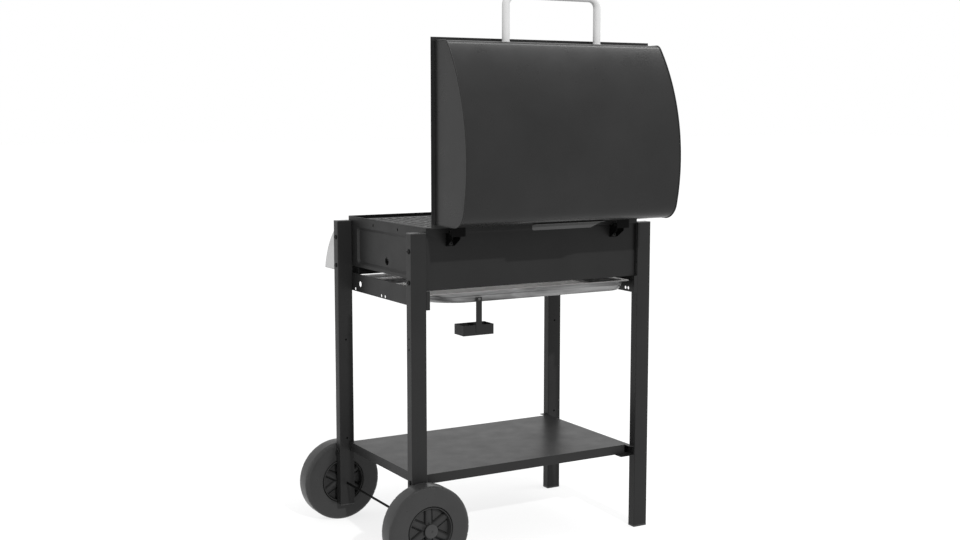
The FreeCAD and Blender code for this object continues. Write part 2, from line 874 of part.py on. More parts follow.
def make_hub(label, middle):
    """The recessed disc of a wheel: a web, a boss, and ribs on both faces."""
    half, web = dim.wheel_wide / 2, dim.hub_web / 2
    section = [
        (-web, dim.boss_radius),
        (-half, dim.boss_radius),
        (-half, dim.bush_radius),
        (half, dim.bush_radius),
        (half, dim.boss_radius),
        (web, dim.boss_radius),
        (web, dim.hub_radius),
        (-web, dim.hub_radius),
    ]
    body = new_body(label)
    turn(body, section)
    reach = half - dim.rib_inset
    near, far = dim.boss_radius - dim.sheet_thick, dim.hub_radius - dim.sheet_thick
    rib = box_path(-dim.rib_thick / 2, near, dim.rib_thick / 2, far)
    first = add(body, "XZ", -reach, reach, rib)
    doc.recompute()
    pattern = body.newObject("PartDesign::PolarPattern", f"{label}_ribs")
    pattern.Originals = [first]
    pattern.Axis = (own_datum(body, "Y_Axis"), [""])
    pattern.Angle = 360
    tie(pattern, "Occurrences", dim.rib_count)
    body.Tip = pattern
    turned = FreeCAD.Rotation(FreeCAD.Vector(0, 1, 0), dim.rib_turn.value)
    body.Placement = FreeCAD.Placement(FreeCAD.Vector(), turned)
    node(body, label, LEG_X, middle, dim.wheel_radius)


def make_bush(label, middle):
    """The plain bush that a wheel turns on."""
    half = dim.wheel_wide / 2 + dim.bush_overhang
    bore = dim.axle_radius + dim.running_gap
    body = new_body(label)
    turn(body, box_path(-half, bore, half, dim.bush_radius))
    node(body, label, LEG_X, middle, dim.wheel_radius)


def make_wheels():
    """Both wheels on the axle."""
    make_axle()
    for word, way in (("front", -1), ("rear", 1)):
        middle = way * (WHEEL_IN + WHEEL_OUT) / 2
        make_tyre(f"wheel_{word}_tyre", middle)
        make_hub(f"wheel_{word}_hub", middle)
        make_bush(f"wheel_{word}_bush", middle)


# ---------------------------------------------------------------- hinges and lid


def hinge_screw_places():
    """Where the hinge brackets are screwed to the rear panel, as (X, Z)."""
    heights = (dim.ear_low + dim.hinge_screw_low, dim.ear_low + dim.hinge_screw_high)
    return [(side * dim.hinge_x, height) for side in (1, -1) for height in heights]


def make_hinge_bracket(label, side):
    """A channel bracket on the rear panel with an ear at each side of the lid's knuckle."""
    thick = dim.ear_thick
    base = BOX_Y + thick
    high = dim.rim_low - thick
    reach = dim.pin_y + dim.knuckle_radius + dim.knuckle_gap
    top = dim.pin_z + dim.knuckle_radius + dim.knuckle_gap
    outside = dim.ear_inside + thick
    ear = [
        (BOX_Y, dim.ear_low),
        (base, dim.ear_low),
        (reach, dim.ear_front_low),
        (reach, top),
        (dim.pin_y - dim.knuckle_radius, top),
        (RIM_Y + thick, high),
        (BOX_Y, high),
    ]
    centre = side * dim.hinge_x
    body = new_body(label)
    foot = box_path(centre - outside, dim.ear_low, centre + outside, high)
    add(body, "XZ", BOX_Y, base, foot)
    for way in (-1, 1):
        add(body, "YZ", centre + way * dim.ear_inside, centre + way * outside, ear)
    take(body, "YZ", centre - outside, centre + outside, (dim.pin_y, dim.pin_z, PIN_HOLE))
    screws = [(x, z, dim.bolt_hole) for x, z in hinge_screw_places() if x.value * side > 0]
    take(body, "XZ", BOX_Y, base, *screws)
    node(body, label)


def make_hinge_leaf(label, side):
    """The lid's half of a hinge: a plate on the lip, and a tongue that ends in a knuckle."""
    centre = side * dim.hinge_x
    inside = dim.ear_inside - dim.knuckle_gap
    plate_in = dim.lid_plane + dim.sheet_thick
    plate_out = plate_in + dim.leaf_thick
    top = dim.lid_low + dim.lid_lip - dim.sheet_thick
    body = new_body(label)
    leaf = box_path(centre - dim.leaf_half, dim.leaf_low, centre + dim.leaf_half, top)
    add(body, "XZ", plate_in, plate_out, leaf)
    tongue = box_path(dim.pin_y, dim.pin_z - dim.tongue_half, plate_in, dim.pin_z + dim.tongue_half)
    add(body, "YZ", centre - inside, centre + inside, tongue)
    knuckle = (dim.pin_y, dim.pin_z, dim.knuckle_radius)
    add(body, "YZ", centre - inside, centre + inside, knuckle)
    take(body, "YZ", centre - inside, centre + inside, (dim.pin_y, dim.pin_z, PIN_HOLE))
    node(body, label)


def make_hinge_pin(side):
    """A headed pin through one hinge, its head outwards."""
    way = "X" if side > 0 else "-X"
    outside = dim.ear_inside + dim.ear_thick
    tail = side * (dim.hinge_x - outside - dim.ear_thick)
    place = (dim.pin_y, dim.pin_z)
    reach = 2 * outside + dim.ear_thick
    shank = solid("Cylinder", way, tail, *place, Radius=dim.pin_radius, Height=reach)
    face = side * (dim.hinge_x + outside)
    head = solid("Cylinder", way, face, *place, Radius=dim.pin_head, Height=dim.ear_thick)
    return combine("MultiFuse", shank, head)


def make_hinges():
    """Brackets, leaves, pins and the screws that hold the brackets."""
    for word, side in (("right", 1), ("left", -1)):
        make_hinge_bracket(f"hinge_bracket_{word}", side)
        make_hinge_leaf(f"hinge_leaf_{word}", side)
    node(combine("Compound", make_hinge_pin(1), make_hinge_pin(-1)), "hinge_pins")
    reach = dim.ear_thick + dim.sheet_thick
    screws = [bolt("-Y", x, BOX_Y + dim.ear_thick, z, reach) for x, z in hinge_screw_places()]
    node(combine("Compound", *screws), "hinge_screws")


def lid_point(rise, deep, *bend):
    """A point of the lid's section, from its height over the mouth and its distance from the rear."""
    return (dim.lid_plane + rise, dim.lid_low + deep, *bend)


def crown(inset):
    """The wall of the lid from its rear foot to its front foot, set in by some distance."""
    radius = dim.crown_radius - inset
    rear_deep = dim.lid_lip + inset
    front_deep = dim.lid_deep - dim.lid_lip - inset
    rear_round, front_round = dim.lid_rear_round - inset, dim.lid_front_round - inset
    middle = dim.crown_centre_deep
    rear_span, front_span = radius - rear_round, radius - front_round
    rear_side = middle - rear_deep - rear_round
    front_side = front_deep - front_round - middle
    rear_rise = leg_of_triangle(rear_span, rear_side)
    front_rise = leg_of_triangle(front_span, front_side)
    rear_scale, front_scale = radius / rear_span, radius / front_span
    base = dim.crown_centre_rise
    rear_top = (base + rear_rise * rear_scale, middle - rear_side * rear_scale)
    front_top = (base + front_rise * front_scale, middle + front_side * front_scale)
    return [
        lid_point(0, rear_deep),
        lid_point(base + rear_rise, rear_deep),
        lid_point(*rear_top, rear_round),
        lid_point(*front_top, radius),
        lid_point(base + front_rise, front_deep, front_round),
        lid_point(0, front_deep),
    ]


def backwards(path):
    """The same path walked the other way, its arcs turning the other way."""
    bends = [point[2:] for point in path[1:]][::-1]
    places = [point[:2] for point in path][::-1]
    turned = [places[0]]
    for place, bend in zip(places[1:], bends):
        turned.append((*place, *[-radius for radius in bend]))
    return turned


def make_lid():
    """The curved shell with its front and rear lips, the end caps and what is fixed to them."""
    thick = dim.sheet_thick
    outer = crown(as_size(0))
    inner = backwards(crown(thick))
    rear_lip = [lid_point(0, 0), lid_point(thick, 0), lid_point(thick, dim.lid_lip)]
    front_lip = [
        lid_point(thick, dim.lid_deep - dim.lid_lip),
        lid_point(thick, dim.lid_deep),
        lid_point(0, dim.lid_deep),
    ]
    shell = new_body("lid_shell")
    plate_in = dim.lid_half - thick
    add(shell, "YZ", -plate_in, plate_in, rear_lip + outer[1:-1] + front_lip + inner)
    front = dim.lid_low + dim.lid_deep - dim.lid_lip
    handle_y = dim.lid_plane + dim.handle_rise
    holes = [(side * dim.handle_half, handle_y, dim.bolt_hole) for side in (1, -1)]
    take(shell, "XY", front - thick, front, *holes)
    node(shell, "lid_shell")

    for word, side in (("right", 1), ("left", -1)):
        cap = new_body(f"lid_end_cap_{word}")
        add(cap, "YZ", side * plate_in, side * dim.lid_half, outer)
        left, right = in_order(side * plate_in, side * (dim.lid_half + dim.lid_lip))
        lip = box_path(left, dim.lid_plane, right, dim.lid_plane + thick)
        add(cap, "XY", dim.lid_low, dim.lid_low + dim.lid_deep, lip)
        node(cap, f"lid_end_cap_{word}")

    make_handle(front, handle_y)
    screws = []
    for side in (1, -1):
        screws.append(bolt("Z", side * dim.handle_half, handle_y, front - thick, thick))
    node(combine("Compound", *screws), "handle_screws")

    make_rear_tab(dim.lid_low + dim.lid_lip, dim.lid_plane + dim.tab_rise)


def make_rear_tab(wall, out):
    """An angle under the lid's lower wall: its hanging side is cut at a slope at one end."""
    thick = dim.sheet_thick
    left, right, bend = -dim.tab_left, dim.tab_right, dim.tab_round
    low, high = wall - dim.tab_hang, wall - thick
    hanging = [
        (left, high),
        (left + dim.tab_slope, low),
        (right - bend, low),
        (right, low + bend, bend),
        (right, high),
    ]
    body = new_body("lid_rear_tab")
    add(body, "YZ", left, right, box_path(out, high, out + dim.tab_foot, wall))
    add(body, "XZ", out, out + thick, hanging)
    node(body, "lid_rear_tab")


def make_handle(front, level):
    """A bent round bar that stands on the lid's front wall."""
    half, bend = dim.handle_half, dim.handle_round
    far = front + dim.handle_out
    body = new_body("lid_handle")
    route = [
        (-half, front),
        (-half, far - bend),
        (-half + bend, far, -bend),
        (half - bend, far),
        (half, far - bend, -bend),
        (half, front),
    ]
    spine = sketch_on(body, "XZ", -level, [route], closed=False)
    profile = sketch_on(body, "XY", front, [(-half, level, dim.handle_radius)])
    pipe = body.newObject("PartDesign::AdditivePipe", "lid_handle_bar")
    pipe.Profile = profile
    pipe.Spine = (spine, [])
    node(body, "lid_handle")


# ---------------------------------------------------------------- tray, cup and grates


def tray_section(body, level, inset, steps, rounds):
    """One rounded rectangle of the tray, stepped in from its mouth and set in by some thickness."""
    side, front, rear = [inset + step for step in steps]
    bend, left_bend = [radius - inset for radius in rounds]
    path = round_box_path(
        -dim.tray_half + side, -dim.tray_front + front, dim.tray_half - side, dim.tray_rear - rear,
        bend, left_bend,
    )
    return sketch_on(body, "XY", level, [path])


def tray_loft(body, kind, inset, floor):
    """The tray's outside or inside, from its mouth down to its floor."""
    waist = (dim.waist_inset, dim.waist_front_inset, dim.waist_rear_inset)
    bottom = (dim.floor_inset, dim.floor_front_inset, dim.floor_rear_inset)
    mouth_rounds = (dim.mouth_round, dim.mouth_round)
    waist_rounds = (dim.waist_round, dim.mouth_round)
    bottom_rounds = (dim.floor_round, dim.floor_left_round)
    sections = [
        tray_section(body, TRAY_TOP, inset, (0, 0, 0), mouth_rounds),
        tray_section(body, dim.tray_waist, inset, waist, waist_rounds),
        tray_section(body, floor, inset, bottom, bottom_rounds),
    ]
    loft = body.newObject(f"PartDesign::{kind}", f"{body.Name}_loft")
    loft.Profile = sections[0]
    loft.Sections = sections[1:]
    loft.Ruled = True
    return loft


def tray_hook(thick):
    """The section of the hook that the cup's strap hangs on."""
    root = dim.cup_rear - dim.hook_root
    tip = dim.cup_rear + thick + dim.hook_gap
    return [
        (root, dim.hook_low),
        (tip + thick, dim.hook_low),
        (tip + thick, dim.hook_tip),
        (tip, dim.hook_tip),
        (tip, dim.hook_high),
        (root, dim.hook_high),
    ]


def make_tray():
    """The sliding ash tray: a deep pan with a turned-up rim, a pull lip and a hook for the cup."""
    thick = dim.sheet_thick
    half, front, rear = dim.tray_rim_half, dim.tray_rim_front, dim.tray_rim_rear
    bend, top = dim.tray_rim_round, TRAY_TOP + thick
    body = new_body("ash_tray")
    tray_loft(body, "AdditiveLoft", as_size(0), dim.tray_low)
    rim = round_box_path(-half, -front, half, rear, bend)
    inside = round_box_path(-half + thick, -front + thick, half - thick, rear - thick, bend - thick)
    add(body, "XY", TRAY_TOP, top, rim)
    add(body, "XY", top, TRAY_TOP + dim.tray_rim_high, rim, inside)
    pull = box_path(-half + bend, -front, half - bend, -front + thick)
    add(body, "XY", TRAY_TOP - dim.tray_lip, TRAY_TOP, pull)
    add(body, "YZ", dim.hook_x - dim.hook_half, dim.hook_x + dim.hook_half, tray_hook(thick))
    tray_loft(body, "SubtractiveLoft", thick, dim.tray_low + thick)
    mouth = round_box_path(
        -dim.tray_half + thick, -dim.tray_front + thick, dim.tray_half - thick, dim.tray_rear - thick,
        dim.mouth_round - thick,
    )
    take(body, "XY", TRAY_TOP, top, mouth)
    drain = (dim.hook_x, dim.tray_rear - dim.drain_inset, dim.drain_hole)
    take(body, "XY", dim.tray_low, dim.tray_low + thick, drain)
    node(body, "ash_tray")


def make_cup():
    """The open box that hangs under the tray's drain hole, and its strap."""
    thick = dim.sheet_thick
    left, front, right, rear = dim.cup_left, dim.cup_front, dim.cup_right, dim.cup_rear
    body = new_body("drip_cup")
    outline = round_box_path(left, front, right, rear, dim.leg_round)
    inside = box_path(left + thick, front + thick, right - thick, rear - thick)
    add(body, "XY", dim.cup_low, dim.cup_high, outline)
    take(body, "XY", dim.cup_low + thick, dim.cup_high, inside)
    node(body, "drip_cup")
    centre, half = dim.hook_x, dim.strap_slot_half
    strap = box_path(centre - dim.strap_half, dim.strap_low, centre + dim.strap_half, dim.strap_high)
    slot = box_path(centre - half, dim.strap_slot_low, centre + half, dim.hook_high + dim.slide_gap)
    plate("cup_strap", "XZ", rear, rear + thick, strap, slot)


def make_grate(label, left, right, low, thick, pitch):
    """A frame with bars running front to back, cut as a row of slots."""
    body = new_body(label)
    half, border, bar = dim.grate_half_y, dim.grate_frame, dim.grate_bar
    add(body, "XY", low, low + thick, box_path(left, -half, right, half))
    width = pitch - bar
    slot = box_path(left + bar, -half + border, left + bar + width, half - border)
    first = take(body, "XY", low, low + thick, slot)
    span = right - left - bar
    count = int(span.value / pitch.value + 0.01)
    pattern = body.newObject("PartDesign::LinearPattern", f"{label}_slots")
    pattern.Originals = [first]
    pattern.Direction = (own_datum(body, "X_Axis"), [""])
    tie(pattern, "Length", pitch * (count - 1))
    pattern.Occurrences = count
    body.Tip = pattern
    node(body, label)


def make_grates():
    """Two cooking grates side by side, and the charcoal grate below them."""
    near, far = dim.grate_split, dim.grate_half_x
    make_grate("cooking_grate_right", near, far, dim.grate_low, dim.grate_thick, dim.grate_pitch)
    make_grate("cooking_grate_left", -far, -near, dim.grate_low, dim.grate_thick, dim.grate_pitch)
    make_grate("charcoal_grate", -far, far, dim.coal_low, dim.coal_thick, dim.coal_pitch)


# ---------------------------------------------------------------- checks and files


def check_document():
    """Stop if any object failed or any sub-part has no valid shape."""
    for item in doc.Objects:
        if {"Invalid", "Error"} & set(item.State):
            raise RuntimeError(f"{item.Label} failed: {item.State}")
    for item in nodes:
        if item.Shape.isNull() or not item.Shape.isValid() or not item.Shape.Solids:
            raise RuntimeError(f"{item.Label} has no valid shape")


def write_parts():
    """Write each sub-part to its own STEP file."""
    os.makedirs("parts", exist_ok=True)
    for item in nodes:
        item.Shape.exportStep(f"parts/{item.Label}.step")


make_legs()
make_firebox()
make_fascia()
make_shelf()
make_bolts()
make_wheels()
make_hinges()
make_lid()
make_tray()
make_cup()
make_grates()
doc.recompute()
check_document()
write_parts()
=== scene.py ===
"""Barrel charcoal grill with its lid standing open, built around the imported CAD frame.

Metres, in the CAD frame: +X towards the wheels, -Y towards the front, +Z up, with the camera behind
the wheel end. Folded sheet and tube are the CAD meshes with rounded edges; the wheels, tray, grates,
handle, lid seams, axle, caps and bolts are modelled here.
"""

import json
import math

import bmesh
import bpy
from mathutils import Matrix, Vector


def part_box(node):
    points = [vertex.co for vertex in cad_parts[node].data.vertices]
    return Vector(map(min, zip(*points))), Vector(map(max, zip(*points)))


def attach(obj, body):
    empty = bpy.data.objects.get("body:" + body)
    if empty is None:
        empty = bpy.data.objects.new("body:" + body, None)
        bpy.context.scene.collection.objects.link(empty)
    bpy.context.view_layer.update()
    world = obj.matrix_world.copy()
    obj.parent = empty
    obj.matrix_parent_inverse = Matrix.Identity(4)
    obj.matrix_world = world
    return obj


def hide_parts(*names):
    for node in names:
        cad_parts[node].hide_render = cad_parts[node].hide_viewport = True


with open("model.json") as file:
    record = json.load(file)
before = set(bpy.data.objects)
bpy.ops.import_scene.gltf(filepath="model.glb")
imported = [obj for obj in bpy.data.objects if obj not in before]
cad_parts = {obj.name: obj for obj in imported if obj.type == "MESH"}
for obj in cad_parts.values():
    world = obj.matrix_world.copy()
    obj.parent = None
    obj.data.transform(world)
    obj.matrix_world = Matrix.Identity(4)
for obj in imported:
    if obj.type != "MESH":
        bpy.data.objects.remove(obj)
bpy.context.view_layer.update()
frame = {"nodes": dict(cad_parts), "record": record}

MM = 0.001
RECORD = frame["record"]
BODY_OF = {node: body for body, nodes in RECORD["behaviour"]["bodies"].items() for node in nodes}
SLOT_OF = {part["node"]: part["material_slot"] for part in RECORD["subparts"]}


def corners(node):
    """A CAD node's lowest and highest corners."""
    low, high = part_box(node)
    return Vector(low), Vector(high)


def middle(node):
    """The centre of a CAD node's box."""
    low, high = corners(node)
    return (low + high) / 2


def new_object(name, data):
    """An object with some data, linked to the scene."""
    item = bpy.data.objects.new(name, data)
    bpy.context.scene.collection.objects.link(item)
    return item


def islands(node):
    """The box of each separate solid in a CAD node, as (low, high)."""
    work = bmesh.new()
    work.from_mesh(frame["nodes"][node].data)
    bmesh.ops.remove_doubles(work, verts=work.verts, dist=0.002 * MM)
    waiting = set(work.verts)
    boxes = []
    while waiting:
        group = [waiting.pop()]
        for vertex in group:
            found = {edge.other_vert(vertex) for edge in vertex.link_edges} & waiting
            waiting -= found
            group += found
        sides = [[vertex.co[axis] for vertex in group] for axis in range(3)]
        boxes.append((Vector([min(side) for side in sides]), Vector([max(side) for side in sides])))
    work.free()
    return sorted(boxes, key=lambda box: tuple(box[0]))


# ---------------------------------------------------------------- materials


class Nodes:
    """A material's node tree, with short ways to add and join nodes."""

    def __init__(self, name, color, roughness, metallic=0.0, specular=0.5):
        self.material = bpy.data.materials.new(name)
        self.material.use_nodes = True
        self.tree = self.material.node_tree
        self.shader = self.tree.nodes["Principled BSDF"]
        self.shader.inputs["Base Color"].default_value = (*color, 1.0)
        self.shader.inputs["Roughness"].default_value = roughness
        self.shader.inputs["Metallic"].default_value = metallic
        self.shader.inputs["Specular IOR Level"].default_value = specular
        self.material.diffuse_color = (*color, 1.0)
        self.sources = self.add("ShaderNodeTexCoord").outputs
        self.coordinates = self.sources["Object"]

    def add(self, kind, **values):
        """A node with its sockets or properties set by name."""
        node = self.tree.nodes.new(kind)
        for name, value in values.items():
            socket = node.inputs.get(name.replace("_", " ").title())
            if socket is None:
                setattr(node, name, value)
            else:
                socket.default_value = value
        return node

    def join(self, source, target):
        """Link an output to an input."""
        self.tree.links.new(source, target)

    def stretched(self, scale):
        """The object's coordinates, scaled along each axis."""
        mapping = self.add("ShaderNodeMapping", scale=scale)
        self.join(self.coordinates, mapping.inputs["Vector"])
        return mapping.outputs["Vector"]

    def noise(self, scale, detail=3.0, roughness=0.55, stretch=(1, 1, 1), distortion=0.0):
        """Noise between 0 and 1; scale is in waves for each metre."""
        node = self.add("ShaderNodeTexNoise", scale=scale, detail=detail, roughness=roughness,
                        distortion=distortion)
        self.join(self.stretched(stretch), node.inputs["Vector"])
        return node.outputs["Fac"]

    def spread(self, source, low, high, start=0.3, end=0.7):
        """A value that goes from low to high as its source goes from start to end."""
        node = self.add("ShaderNodeMapRange")
        for name, value in (("From Min", start), ("From Max", end), ("To Min", low), ("To Max", high)):
            node.inputs[name].default_value = value
        self.join(source, node.inputs["Value"])
        return node.outputs["Result"]

    def mixer(self, factor):
        """A colour mix node's two inputs and its output, the mix driven by a value."""
        node = self.add("ShaderNodeMix", data_type="RGBA")
        share, *_ = (socket for socket in node.inputs if socket.enabled and socket.name == "Factor")
        low, high = (socket for socket in node.inputs if socket.enabled and socket.name in "AB")
        self.join(factor, share)
        return low, high, next(socket for socket in node.outputs if socket.enabled)

    def tint(self, source, first, second):
        """A colour between two others, by a value."""
        low, high, result = self.mixer(source)
        low.default_value = (*first, 1.0)
        high.default_value = (*second, 1.0)
        return result

    def blend(self, source, first, second):
        """A colour between two other nodes' colours, by a value."""
        low, high, result = self.mixer(source)
        self.join(first, low)
        self.join(second, high)
        return result

    def bump(self, source, height, strength=1.0, base=None):
        """A bump of some height in metres, over another one if given."""
        node = self.add("ShaderNodeBump", strength=strength, distance=height)
        self.join(source, node.inputs["Height"])
        if base is not None:
            self.join(base, node.inputs["Normal"])
        return node.outputs["Normal"]

    def connect(self, color=None, roughness=None, normal=None):
        """Drive the shader's main sockets."""
        sockets = (("Base Color", color), ("Roughness", roughness), ("Normal", normal))
        for name, source in sockets:
            if source is not None:
                self.join(source, self.shader.inputs[name])
        return self.material


def grey(level, warmth=0.0):
    """A near-neutral colour."""
    return (level * (1 + warmth), level, level * (1 - warmth))


def lighter(color, factor):
    """A colour made brighter or darker by a factor."""
    return tuple(min(1.0, part * factor) for part in color)


def paint(name, color, roughness, specular=0.25, peel=0.00002, pale_tone=1.5):
    """Powder coat or enamel: faint mottling, uneven gloss and a fine orange peel."""
    nodes = Nodes(name, color, roughness, 0.0, specular)
    color_out = nodes.tint(nodes.noise(7, 5), lighter(color, 0.85), lighter(color, pale_tone))
    rough_out = nodes.spread(nodes.noise(18, 4), roughness - 0.03, roughness + 0.04)
    fine = nodes.bump(nodes.noise(1500, 2), peel)
    broad = nodes.bump(nodes.noise(300, 2), peel * 1.5, base=fine)
    return nodes.connect(color_out, rough_out, broad)


def moulded_plastic(name, color, roughness, specular, grain=0.00004):
    """Matt moulded plastic with a fine spark-eroded grain and scuffed patches."""
    nodes = Nodes(name, color, roughness, 0.0, specular)
    color_out = nodes.tint(nodes.noise(26, 6), lighter(color, 0.88), lighter(color, 1.2))
    rough_out = nodes.spread(nodes.noise(60, 5), roughness - 0.06, roughness + 0.06)
    return nodes.connect(color_out, rough_out, nodes.bump(nodes.noise(2600, 3), grain))


def satin(name, color, roughness, specular):
    """Pale satin paint: soft clouds in its shade and gloss, and fine pigment flakes."""
    nodes = Nodes(name, color, roughness, 0.0, specular)
    color_out = nodes.tint(nodes.noise(9, 4), lighter(color, 0.96), lighter(color, 1.04))
    rough_out = nodes.spread(nodes.noise(40, 4), roughness - 0.05, roughness + 0.05)
    flakes = nodes.bump(nodes.noise(2200, 2), 0.00001)
    return nodes.connect(color_out, rough_out, nodes.bump(nodes.noise(260, 2), 0.00002, base=flakes))


def brushed_metal(name, color, roughness, stretch, metallic=1.0):
    """Metal with fine lines along one axis."""
    nodes = Nodes(name, color, roughness, metallic)
    lines = nodes.noise(60, 6, 0.7, stretch)
    color_out = nodes.tint(lines, lighter(color, 0.92), lighter(color, 1.06))
    rough_out = nodes.spread(lines, roughness - 0.05, roughness + 0.07)
    return nodes.connect(color_out, rough_out, nodes.bump(lines, 0.00001))


def galvanised(name, color, roughness):
    """Drawn zinc-coated sheet: soft streaks, a faint spangle and press waves; faces that point up are
    painted paler and less metallic, a painted light on the pan's floor.
    """
    nodes = Nodes(name, color, roughness, 0.7)
    streaks = nodes.noise(16, 4, 0.5, (0.28, 0.6, 1.9), 1.2)
    share = nodes.spread(streaks, 0.0, 1.0, 0.36, 0.66)
    zinc = nodes.tint(share, lighter(color, 0.45), lighter(color, 1.4))
    # Painted light: the more a face points up, the paler and less metallic it is made, so the pan's floor
    # looks lit.
    facing = nodes.add("ShaderNodeSeparateXYZ")
    nodes.join(nodes.sources["Normal"], facing.inputs["Vector"])
    upward_painted_light = nodes.spread(facing.outputs["Z"], 0.0, 0.85, 0.55, 0.98)
    nodes.join(nodes.spread(upward_painted_light, 0.7, 0.0, 0.0, 0.85), nodes.shader.inputs["Metallic"])
    # The pale grey painted onto upward faces as light, varied at random.
    pale_tone = nodes.tint(nodes.noise(120, 6, 0.7), grey(0.34, 0.02), grey(0.5, 0.02))
    color_out = nodes.blend(upward_painted_light, zinc, pale_tone)
    crystals = nodes.add("ShaderNodeTexVoronoi", scale=140.0)
    nodes.join(nodes.stretched((1, 1, 1)), crystals.inputs["Vector"])
    shade = nodes.add("ShaderNodeSeparateColor")
    nodes.join(crystals.outputs["Color"], shade.inputs["Color"])
    rough_out = nodes.spread(shade.outputs["Red"], roughness - 0.05, roughness + 0.06, 0.0, 1.0)
    waves = nodes.bump(nodes.noise(11, 2, 0.4, (0.5, 1, 1.5)), 0.0022)
    return nodes.connect(color_out, rough_out, nodes.bump(nodes.noise(500, 3), 0.00001, base=waves))


def cast_iron(name, color, roughness):
    """Enamelled iron bars: coarse pits under a dull gloss, greyed by heat."""
    nodes = Nodes(name, color, roughness)
    color_out = nodes.tint(nodes.noise(45, 6, 0.65), lighter(color, 0.7), lighter(color, 1.5))
    rough_out = nodes.spread(nodes.noise(90, 4), roughness - 0.1, roughness + 0.12)
    pits = nodes.bump(nodes.noise(900, 4), 0.0001)
    return nodes.connect(color_out, rough_out, pits)


MATERIALS = {
    "leg_paint": paint("leg_powder_coat", grey(0.0095), 0.4, 0.16),
    "body_paint": paint("firebox_heat_paint", grey(0.0095), 0.4, 0.16),
    "lid_paint": paint("lid_enamel", grey(0.0105), 0.29, 0.17, 0.00001),
    # The tab's paint is the black paint made about three times lighter: painted light on the tab.
    "tab_paint": paint("tab_paint_painted_light", grey(0.03), 0.4, 0.3),
    "shelf_paint": paint("shelf_powder_coat", grey(0.0105), 0.36, 0.2, pale_tone=1.25),
    "silver_paint": satin("fascia_silver_paint", grey(0.4), 0.5, 0.3),
    "handle_metal": satin("handle_satin_paint", grey(0.4), 0.42, 0.3),
    # Hinge paint darker than the firebox's black: partly its own black, partly painted shade from under the
    # lid.
    "hinge_steel": paint("hinge_black_paint_and_painted_shade", grey(0.002), 0.45, 0.05),
    "fastener_steel": brushed_metal("blackened_steel", grey(0.022), 0.42, (1, 1, 1)),
    "tray_steel": galvanised("tray_galvanised_sheet", grey(0.19), 0.36),
    "grate_iron": cast_iron("grate_enamelled_iron", grey(0.03), 0.42),
    "cap_plastic": moulded_plastic("cap_plastic", grey(0.02), 0.34, 0.35),
    "tyre_plastic": moulded_plastic("tyre_plastic", grey(0.02), 0.33, 0.25),
    "hub_plastic": moulded_plastic("hub_plastic", grey(0.017), 0.4, 0.2),
}


# ---------------------------------------------------------------- mesh helpers


def show(name, mesh, node, bevel=0.0, replace=True, smooth_angle=35):
    """A piece that rides, and takes its material, as a CAD node does, and stands for it."""
    piece = new_object(name, mesh)
    mesh.materials.clear()
    mesh.materials.append(MATERIALS[SLOT_OF[node]])
    mesh.shade_smooth()
    mesh.set_sharp_from_angle(angle=math.radians(smooth_angle))
    if bevel:
        rounding = piece.modifiers.new("rounded_edges", "BEVEL")
        rounding.width = bevel
        rounding.segments = 3
        rounding.limit_method = "ANGLE"
        rounding.angle_limit = math.radians(smooth_angle)
        rounding.harden_normals = True
        rounding.use_clamp_overlap = True
    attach(piece, BODY_OF[node])
    if replace:
        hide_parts(node)
    return piece


def finish(work, name, node, bevel=0.0, replace=True, smooth_angle=35):
    """Close the mesh being worked on and show it."""
    bmesh.ops.recalc_face_normals(work, faces=work.faces)
    mesh = bpy.data.meshes.new(name)
    work.to_mesh(mesh)
    work.free()
    return show(name, mesh, node, bevel, replace, smooth_angle)


def whole_faces(node):
    """A CAD node's mesh with its flat faces made whole."""
    work = bmesh.new()
    work.from_mesh(frame["nodes"][node].data)
    bmesh.ops.remove_doubles(work, verts=work.verts, dist=0.002 * MM)
    flat = math.radians(0.3)
    bmesh.ops.dissolve_limit(work, angle_limit=flat, verts=work.verts, edges=work.edges)
    return work


def rounded_copy(node, bevel):
    """A CAD node's mesh with its sharp edges rounded."""
    return finish(whole_faces(node), f"{node}_rounded", node, bevel)


def add_rings(work, rings, wrap=False):
    """Skin a row of rings of points; the first and last are joined, or each is closed by a face."""
    rows = [[work.verts.new(point) for point in ring] for ring in rings]
    pairs = list(zip(rows, rows[1:]))
    if wrap:
        pairs.append((rows[-1], rows[0]))
    for low, high in pairs:
        for index in range(len(low)):
            after = (index + 1) % len(low)
            work.faces.new((low[index], low[after], high[after], high[index]))
    if not wrap:
        work.faces.new(rows[0])
        work.faces.new(rows[-1])


def basis(direction):
    """Two unit vectors across a direction."""
    direction = direction.normalized()
    start = Vector((0, 0, 1)) if abs(direction.z) < 0.9 else Vector((1, 0, 0))
    side = direction.cross(start).normalized()
    return side, side.cross(direction).normalized()


def hexagon(angle):
    """How far a hexagon's outline is from its centre, for a corner radius of 1."""
    part = math.radians(60)
    return math.cos(part / 2) / math.cos(angle % part - part / 2)


def lathe(work, origin, axis, profile, steps, wrap=False, dents=(), dent_every=0, dent_deep=0.0,
          hexed=()):
    """Turn (along, radius) points about an axis. Some points may be dented, or follow a hexagon."""
    axis = Vector(axis).normalized()
    side, up = basis(axis)
    rings = []
    for index, (along, radius) in enumerate(profile):
        ring = []
        for step in range(steps):
            angle = 2 * math.pi * step / steps
            reach = radius * hexagon(angle) if index in hexed else radius
            if index in dents and step % dent_every == 0:
                reach -= dent_deep
            ring.append(origin + axis * along + (side * math.cos(angle) + up * math.sin(angle)) * reach)
        rings.append(ring)
    add_rings(work, rings, wrap)


def mirrored(one):
    """A profile of (along, radius) points and its mirror image, in order."""
    return one + [(-along, reach) for along, reach in reversed(one)]


def arc(centre, radius, start, end, steps):
    """Points (along, radius) of an arc, its angles in degrees."""
    angles = [math.radians(start + (end - start) * step / steps) for step in range(steps + 1)]
    return [(centre[0] + radius * math.cos(a), centre[1] + radius * math.sin(a)) for a in angles]


def rectangle(left, front, right, back, level):
    """The corners of a level rectangle."""
    places = ((left, front), (right, front), (right, back), (left, back))
    return [Vector((x, y, level)) for x, y in places]


